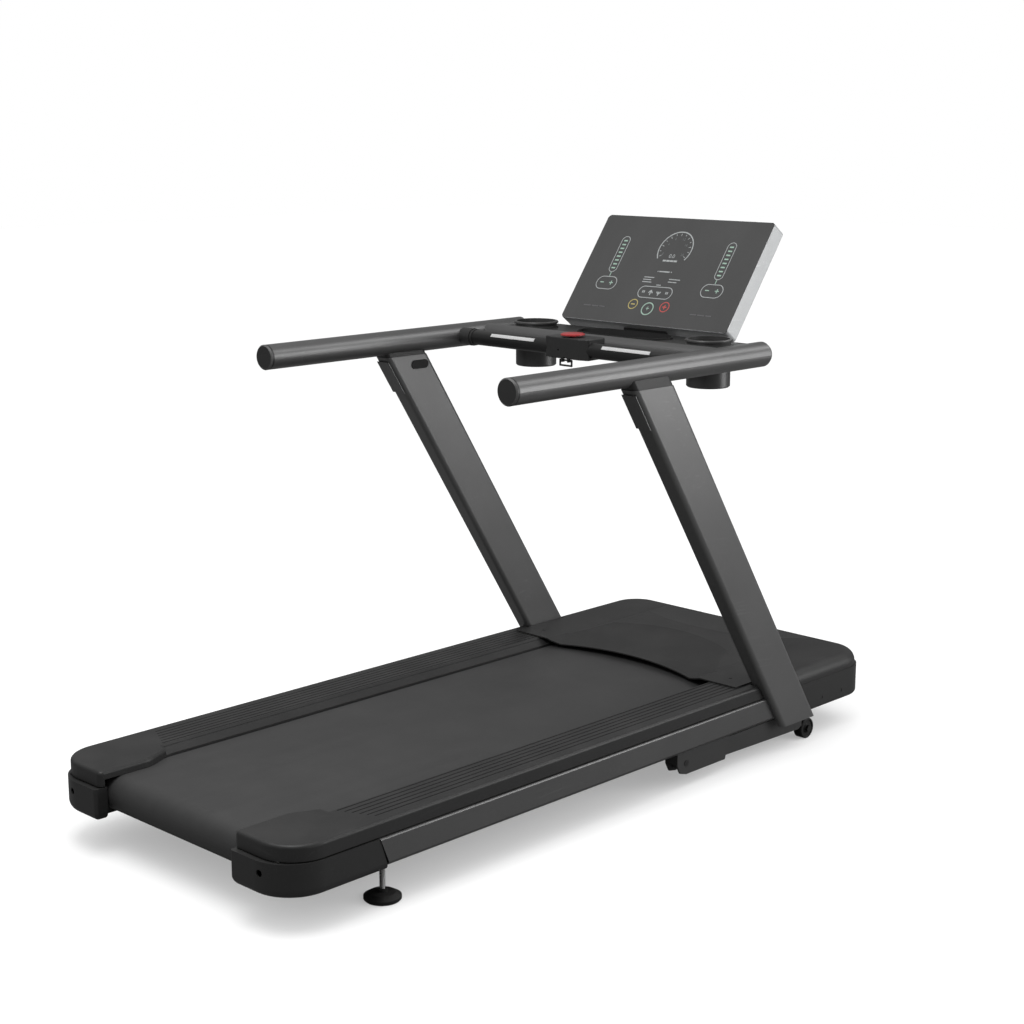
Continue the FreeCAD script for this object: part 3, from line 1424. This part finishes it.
def tray():
    """Thin-walled tray between the handrails with a deep rest and two cup openings."""
    top = value("tray_top")
    wall = value("tray_wall")
    height = value("tray_height")
    half = value("span") + 3
    rear = value("tray_rear")
    front = value("tray_front")
    plan = [(-half, rear, 6), (half, rear, 6), (half, front, 26), (-half, front, 26)]
    body = slab(plan, top - height, top)
    rim = [edge for edge in body.Edges
           if abs(edge.BoundBox.ZMin - top) < 1e-6 and edge.BoundBox.ZLength < 1e-6]
    body = body.makeFillet(2.5, rim)
    under = slab([(-half + wall, rear + wall, 4), (half - wall, rear + wall, 4),
                  (half - wall, front - wall, 22), (-half + wall, front - wall, 22)],
                 top - height - 1, top - wall)
    body = body.cut(under)
    body = body.fuse(boat(wall, top - height + 2, top + 5))
    body = body.cut(boat(0, top - height + 2 + wall, top + 20))
    for side in (-1, 1):
        x = side * value("cup_x")
        opening = Part.makeCylinder(value("cup_radius") + 0.5, height + 20,
                                    Vector(x, value("cup_y"), top - height - 5))
        body = body.cut(opening)
        rail = Part.makeCylinder(value("handrail_radius"), 1200,
                                 Vector(side * value("handrail_x"), rear - 500, value("handrail_z")),
                                 Vector(0, 1, 0))
        body = body.cut(rail)
    tube = Part.makeCylinder(value("cross_tube_radius"), half * 2,
                             Vector(-half, value("cross_tube_y"), value("handrail_z")), Vector(1, 0, 0))
    return shape_feature("tray", body.cut(tube).removeSplitter())


node("tray", tray())


def cup():
    """Straight-sided cup holder hung in the tray, with a thick lip."""
    profile = [
        ("0", "cup_bottom"), ("cup_radius - 3", "cup_bottom"), ("cup_radius", "cup_bottom + 3"),
        ("cup_radius", "tray_top"), ("lip_radius - 1", "tray_top"), ("lip_radius - 1", "tray_top + 4"),
        ("cup_radius + 1", "tray_top + 5"), ("cup_radius + 1", "cup_lip - 6"),
        ("lip_radius", "cup_lip - 5"), ("lip_radius", "cup_lip - 2"), ("lip_radius - 2", "cup_lip"),
        ("cup_bore", "cup_lip"), ("cup_bore", "cup_bottom + 3"), ("0", "cup_bottom + 3"),
    ]
    return place(turned("cup_holder", profile), "cup_x", "cup_y", "0")


sides("cup_holder", cup())

# ---------------------------------------------------------------------------
# Console
# ---------------------------------------------------------------------------
def on_console(thing):
    """Seat a console piece: its local X is across, Y up the face and Z out of it."""
    thing.Placement = Placement(Vector(0, 0, 0),
                                Rotation(Vector(1, 0, 0), 90 - value("console_lean")))
    thing.setExpression("Placement.Base.y", formula("console_foot_y"))
    thing.setExpression("Placement.Base.z", formula("console_foot_z"))
    return thing


def face_outline(inset):
    half = "console_width / 2 - %s" % inset
    return [
        ("-(%s)" % half, inset), (half, inset),
        (half, "console_tall - %s" % inset), ("-(%s)" % half, "console_tall - %s" % inset),
    ]


def console_case():
    """Slim case with a recess for the glass."""
    body = new_body("console_case")
    pad(body, outline(body, "Face", "XY_Plane", face_outline("0"), "-console_thick"), "console_thick")
    soften(body, "console_round", lambda e: along(e, "z", 30))
    soften(body, "3.5", lambda e: e.BoundBox.ZMax < -value("console_thick") + 0.01)
    recess = outline(body, "Recess", "XY_Plane", face_outline("glass_border"), "-glass_thick")
    pocket(body, recess, "glass_thick + 1")
    cavity = outline(body, "Cavity", "XY_Plane", face_outline("(glass_border + 4)"), "-console_thick + 4")
    pocket(body, cavity, "console_thick - 4")
    return on_console(body)


def console_glass():
    """Dark touch glass that fills the recess."""
    body = new_body("console_glass")
    face = outline(body, "Face", "XY_Plane", face_outline("(glass_border + 0.2)"), "-glass_thick")
    pad(body, face, "glass_thick")
    soften(body, "console_round - glass_border", lambda e: along(e, "z", 2))
    return on_console(body)


node("console_case", console_case())
node("console_glass", console_glass())


def console_neck():
    """Angled neck from the tray's front edge to the console's lower back."""
    lean = math.radians(value("console_lean"))
    foot_y = value("console_foot_y")
    foot_z = value("console_foot_z")
    thick = value("console_thick")
    back_y = foot_y + thick * math.cos(lean)
    back_z = foot_z - thick * math.sin(lean)
    low = value("tray_top - tray_height")
    rise = 70
    rear = value("tray_front - 16")
    corners = [
        (rear, low - 4),
        (back_y + 24, low - 4),
        (back_y + rise * math.sin(lean) + 22, back_z + rise * math.cos(lean)),
        (back_y + rise * math.sin(lean), back_z + rise * math.cos(lean)),
        (back_y, back_z),
        (rear, back_z + (back_y - rear) * math.tan(lean)),
    ]
    half = value("neck_half")
    body = prism_along_x(corners, -half, half)
    tray_space = Part.makeBox(half * 2 + 2, value("tray_depth"), value("tray_height") + 20,
                              Vector(-half - 1, value("tray_front") - value("tray_depth"), low))
    return shape_feature("console_neck", body.cut(tray_space))


node("console_neck", console_neck())

# ---------------------------------------------------------------------------
# Lift frame, lift motor, wheels and feet
# ---------------------------------------------------------------------------
def lift_arm():
    """Box arm from the pivot to the wheel fork, tapering down towards the wheel."""
    half = value("arm_height") / 2
    pivot_y = value("lift_y")
    pivot_z = value("lift_z")
    tip_y = value("wheel_y")
    tip_z = value("wheel_radius")
    x = value("arm_x") - value("arm_width") / 2
    width = value("arm_width")
    fork = tip_y - value("wheel_radius") - 14
    top = value("rail_bottom") - 5.5
    shoulder = fork - 78
    beam = prism_along_x([
        (pivot_y, pivot_z - half + 1), (fork, tip_z + 7), (fork + 14, tip_z + 14),
        (fork + 14, tip_z + 34), (fork - 60, tip_z + 42), (shoulder, top), (pivot_y + 20, top),
        (pivot_y, pivot_z + half),
    ], x, x + width)
    round_end = Part.makeCylinder(half, width, Vector(x, pivot_y, pivot_z), Vector(1, 0, 0))
    cheek = 4
    prong = prism_along_x([
        (fork, tip_z + 34), (fork, tip_z + 8), (tip_y - 8, tip_z - 9), (tip_y + 9, tip_z - 9),
        (tip_y + 11, tip_z + 10), (fork + 30, tip_z + 34),
    ], x - cheek - 1, x - 1)
    bridge = Part.makeBox(cheek + 2, 15, 26, Vector(x - cheek - 1, fork, tip_z + 8))
    wall = 3
    hollow = prism_along_x([
        (pivot_y + half + 4, pivot_z - half + 6), (fork - 24, tip_z + 12), (fork - 24, tip_z + 32),
        (fork - 62, tip_z + 36), (shoulder - 8, top - wall - 1), (pivot_y + half + 4, top - wall - 1),
    ], x + wall, x + width - wall)
    arm = beam.fuse([round_end, prong, bridge]).cut(hollow)
    pin = Part.makeCylinder(value("pin_radius"), width + 2, Vector(x - 1, pivot_y, pivot_z),
                            Vector(1, 0, 0))
    axle = Part.makeCylinder(value("axle_radius"), 12, Vector(x - 8, tip_y, tip_z), Vector(1, 0, 0))
    return arm.cut(pin).cut(axle)


def lift_frame():
    """Two arms joined by a cross tube, with a clevis for the lift motor."""
    right = lift_arm()
    left = right.mirror(Vector(0, 0, 0), Vector(1, 0, 0))
    reach = value("arm_x")
    y = value("lift_cross_y")
    z = value("lift_cross_z")
    tube = Part.makeCylinder(value("lift_cross_radius"), reach * 2, Vector(-reach, y, z), Vector(1, 0, 0))
    middle = value("lift_motor_x")
    gap = value("screw_tube_radius") + 1
    ears = []
    for side in (-1, 1):
        inner = middle + side * gap
        start = inner if side > 0 else inner - 5
        ears.append(prism_along_x([(y - 44, z - 10), (y, z - 13), (y, z + 13), (y - 44, z + 10)],
                                  start, start + 5))
    body = right.fuse([left, tube] + ears)
    pin = Part.makeCylinder(5, 60, Vector(middle - 30, y - 34, z), Vector(1, 0, 0))
    return shape_feature("lift_frame", body.cut(pin).removeSplitter())


node("lift_frame", lift_frame())


def lift_bracket():
    """Two cheeks and a top plate under the side rail that carry the lift pivot."""
    half = value("arm_width") / 2
    thick = value("cheek_thick")
    gap = 1.0
    pivot_y = value("lift_y")
    pivot_z = value("lift_z")
    top = value("rail_bottom")
    corners = [(pivot_y - 34, top), (pivot_y - 34, pivot_z), (pivot_y - 22, pivot_z - 22),
               (pivot_y, pivot_z - 28), (pivot_y + 150, pivot_z - 28), (pivot_y + 165, top)]
    cheeks = [
        prism_along_x(corners, value("arm_x") + half + gap, value("arm_x") + half + gap + thick),
        prism_along_x(corners[:3] + [(pivot_y, pivot_z - 26), (pivot_y + 40, pivot_z - 20),
                                     (pivot_y + 60, top)],
                      value("arm_x") - half - gap - thick, value("arm_x") - half - gap),
    ]
    width = value("arm_width") + 2 * (gap + thick)
    plate = Part.makeBox(width, 199, 4, Vector(value("arm_x") - width / 2, pivot_y - 34, top - 4))
    rear_wall = Part.makeBox(width, 4, top - pivot_z, Vector(value("arm_x") - width / 2, pivot_y - 34, pivot_z))
    body = cheeks[0].fuse([cheeks[1], plate, rear_wall])
    bore = Part.makeCylinder(value("pin_radius") + value("running_fit"), width + 10,
                             Vector(value("arm_x") - width / 2 - 5, pivot_y, pivot_z), Vector(1, 0, 0))
    return shape_feature("lift_bracket", body.cut(bore))


def lift_anchor():
    """Clevis on the side rail's inner face that carries the lift motor."""
    x = value("lift_motor_x")
    y = value("lift_y")
    z = value("lift_anchor_z")
    far = value("rail_inner")
    outer = Part.makeBox(far - x - 27, 36, 36, Vector(x + 27, y - 18, z - 18))
    inner = Part.makeBox(5, 36, 36, Vector(x - 32, y - 18, z - 18))
    back = Part.makeBox(far - x + 32, 5, 36, Vector(x - 32, y - 45, z - 18))
    webs = [
        Part.makeBox(5, 32, 36, Vector(x - 32, y - 45, z - 18)),
        Part.makeBox(far - x - 27, 32, 36, Vector(x + 27, y - 45, z - 18)),
    ]
    bore = Part.makeCylinder(value("pin_radius") + value("running_fit"), 120, Vector(x - 60, y, z),
                             Vector(1, 0, 0))
    return shape_feature("lift_anchor", outer.fuse([inner, back] + webs).cut(bore))


bracket = lift_bracket()
node("lift_brackets", group("lift_brackets", [bracket, mirror("lift_bracket_left", bracket), lift_anchor()]))


def lift_pins():
    """Pivot pins and wheel axles fixed in the lift frame's arms."""
    length = "arm_width + cheek_thick * 2 + 4"
    start = ("arm_x - (%s) / 2" % length, "lift_y", "lift_z")
    pin = rod("lift_pin", "x", start, "pin_radius", length)
    axle = rod("wheel_axle", "x", ("arm_x - arm_width / 2 - 5", "wheel_y", "wheel_radius"),
               "axle_radius", "arm_width + 8")
    head = rod("wheel_axle_head", "x", ("arm_x + arm_width / 2 + 3 - 0.5", "wheel_y", "wheel_radius"),
               "axle_radius + 4", "4")
    right = [pin, fuse("wheel_axle_bolt", [axle, head])]
    left = [mirror("lift_pin_twin_%d" % i, piece) for i, piece in enumerate(right)]
    clevis = rod("clevis_pin", "x", ("lift_motor_x - 18", "lift_cross_y - 34", "lift_cross_z"),
                 "5", "36")
    return group("lift_pins", right + left + [clevis])


node("lift_pins", lift_pins())


def wheel():
    """Solid rubber-tyred wheel with a dished hub, turning on its axle."""
    half = "wheel_width / 2"
    bore = "axle_radius + running_fit"
    profile = [
        (bore, "-%s" % half), ("axle_radius + 6", "-%s" % half), ("axle_radius + 8", "-%s + 2.5" % half),
        ("wheel_radius - 6", "-%s + 2.5" % half), ("wheel_radius - 5", "-%s" % half),
        ("wheel_radius - 2", "-%s" % half), ("wheel_radius", "-%s + 2" % half),
        ("wheel_radius", "%s - 2" % half), ("wheel_radius - 2", half),
        ("wheel_radius - 5", half), ("wheel_radius - 6", "%s - 2.5" % half),
        ("axle_radius + 8", "%s - 2.5" % half), ("axle_radius + 6", half), (bore, half),
    ]
    body = turned("wheel", profile)
    return place(body, "arm_x", "wheel_y", "wheel_radius", turn=AXES["x"])


sides("wheel", wheel())


def lift_angle():
    """Direction of the lift motor's axis, down and ahead to the clevis pin."""
    return math.atan2(value("lift_cross_z - lift_anchor_z"), value("lift_cross_y - 34 - lift_y"))


def lift_local(label, shape):
    """Place a shape drawn along +Y from the lift motor's pivot."""
    feature = shape_feature(label, shape)
    feature.Placement = Placement(Vector(0, 0, 0),
                                  Rotation(Vector(1, 0, 0), math.degrees(lift_angle())))
    feature.setExpression("Placement.Base.x", formula("lift_motor_x"))
    feature.setExpression("Placement.Base.y", formula("lift_y"))
    feature.setExpression("Placement.Base.z", formula("lift_anchor_z"))
    return feature


def lift_motor():
    """Gearcase with trunnions, outer tube and small motor of the incline drive."""
    case = Part.makeBox(44, 62, 40, Vector(-22, -14, -22))
    case = case.makeFillet(6, [e for e in case.Edges if e.Length > 60])
    trunnion = Part.makeCylinder(value("pin_radius"), 66, Vector(-33, 0, 0), Vector(1, 0, 0))
    sleeve = Part.makeCylinder(value("screw_tube_radius") + 5, 190, Vector(0, 40, 0), Vector(0, 1, 0))
    can = Part.makeCylinder(15, 78, Vector(0, 47, -4), Vector(0, 1, 0))
    bore = Part.makeCylinder(value("screw_tube_radius") + value("running_fit"), 200, Vector(0, 52, 0),
                             Vector(0, 1, 0))
    return lift_local("lift_motor", case.fuse([trunnion, sleeve, can]).cut(bore))


node("lift_motor", lift_motor())


def lift_screw_tube():
    """Moving tube with an eye; the eye is open to the clevis pin with clearance."""
    reach = math.hypot(value("lift_cross_z - lift_anchor_z"), value("lift_cross_y - 34 - lift_y"))
    radius = value("screw_tube_radius")
    tube = Part.makeCylinder(radius, reach - 87, Vector(0, 75, 0), Vector(0, 1, 0))
    eye = Part.makeCylinder(14, radius * 2 - 2, Vector(-radius + 1, reach, 0), Vector(1, 0, 0))
    bore = Part.makeCylinder(7.5, radius * 2 + 4, Vector(-radius - 2, reach, 0), Vector(1, 0, 0))
    return lift_local("lift_screw_tube", tube.fuse(eye).cut(bore))


node("lift_screw_tube", lift_screw_tube())


def levelling_foot():
    """Domed rubber disc on a threaded rod."""
    rod_top = "rail_bottom + 30"
    profile = [
        ("0", "0"), ("foot_radius - 3", "0"), ("foot_radius", "3"), ("foot_radius", "foot_height - 9"),
        ("foot_radius * 0.7", "foot_height - 2"), ("rod_radius + 5", "foot_height"),
        ("rod_radius + 5", "foot_height + 5"), ("rod_radius", "foot_height + 5"),
        ("rod_radius", rod_top), ("0", rod_top),
    ]
    return place(turned("levelling_foot", profile), "foot_x", "foot_y", "0")


sides("levelling_foot", levelling_foot())


def foot_nut():
    """Threaded plate welded under the rail that the rod screws through."""
    plate = box("foot_nut_plate", ("foot_x - 16", "foot_y - 18", "rail_bottom - 8"),
                ("rail_inner + 16", "foot_y + 18", "rail_bottom"))
    bore = rod("foot_nut_bore", "z", ("foot_x", "foot_y", "rail_bottom - 10"),
               "rod_radius + running_fit", "12")
    return cut("foot_nut", plate, [bore])


pair("foot_threaded_plates", foot_nut())

# ---------------------------------------------------------------------------
# Check and write
# ---------------------------------------------------------------------------
doc.recompute()
for thing in doc.Objects:
    if "Invalid" in thing.State or "Error" in thing.State:
        raise RuntimeError("%s failed: %s" % (thing.Label, thing.State))
labels = [thing.Label for thing in nodes]
if len(set(labels)) != len(labels) or len(labels) > 60:
    raise RuntimeError("labels repeat, or there are too many sub-parts: %d" % len(labels))
for thing in nodes:
    if thing.Shape.isNull() or not thing.Shape.isValid() or not thing.Shape.Solids:
        raise RuntimeError("%s has no valid solid" % thing.Label)
to_middle = Vector(0, -value("front_end + cap_rear") / 2, 0)
os.makedirs("parts", exist_ok=True)
for thing in nodes:
    centred = thing.Shape.copy()
    centred.translate(to_middle)
    centred.exportStep(os.path.join("parts", thing.Label + ".step"))
print("%d sub-parts written" % len(nodes))
